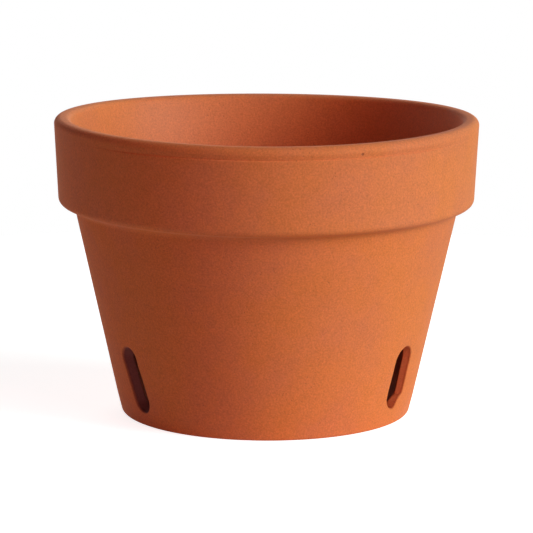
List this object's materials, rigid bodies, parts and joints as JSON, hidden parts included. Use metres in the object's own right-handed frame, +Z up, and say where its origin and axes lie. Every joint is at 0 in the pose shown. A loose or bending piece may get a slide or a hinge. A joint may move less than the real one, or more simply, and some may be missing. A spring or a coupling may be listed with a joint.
{
  "type": "orchid pot",
  "caption": "Tapered round terracotta orchid pot with a deep collar, a rounded lip, a drain hole in the floor and upright ventilation slots through the foot of the wall.",
  "frame": {"origin": "centre of the base, on the surface that the pot stands on", "axes": "+Z up along the pot's axis, -Y towards the front, between the two front slots"},
  "size_m": [0.1578, 0.1578, 0.1106],
  "materials": {
    "terracotta": "matte unglazed"
  },
  "bodies": {
    "root": {"pot": "terracotta"}
  },
  "joints": []
}
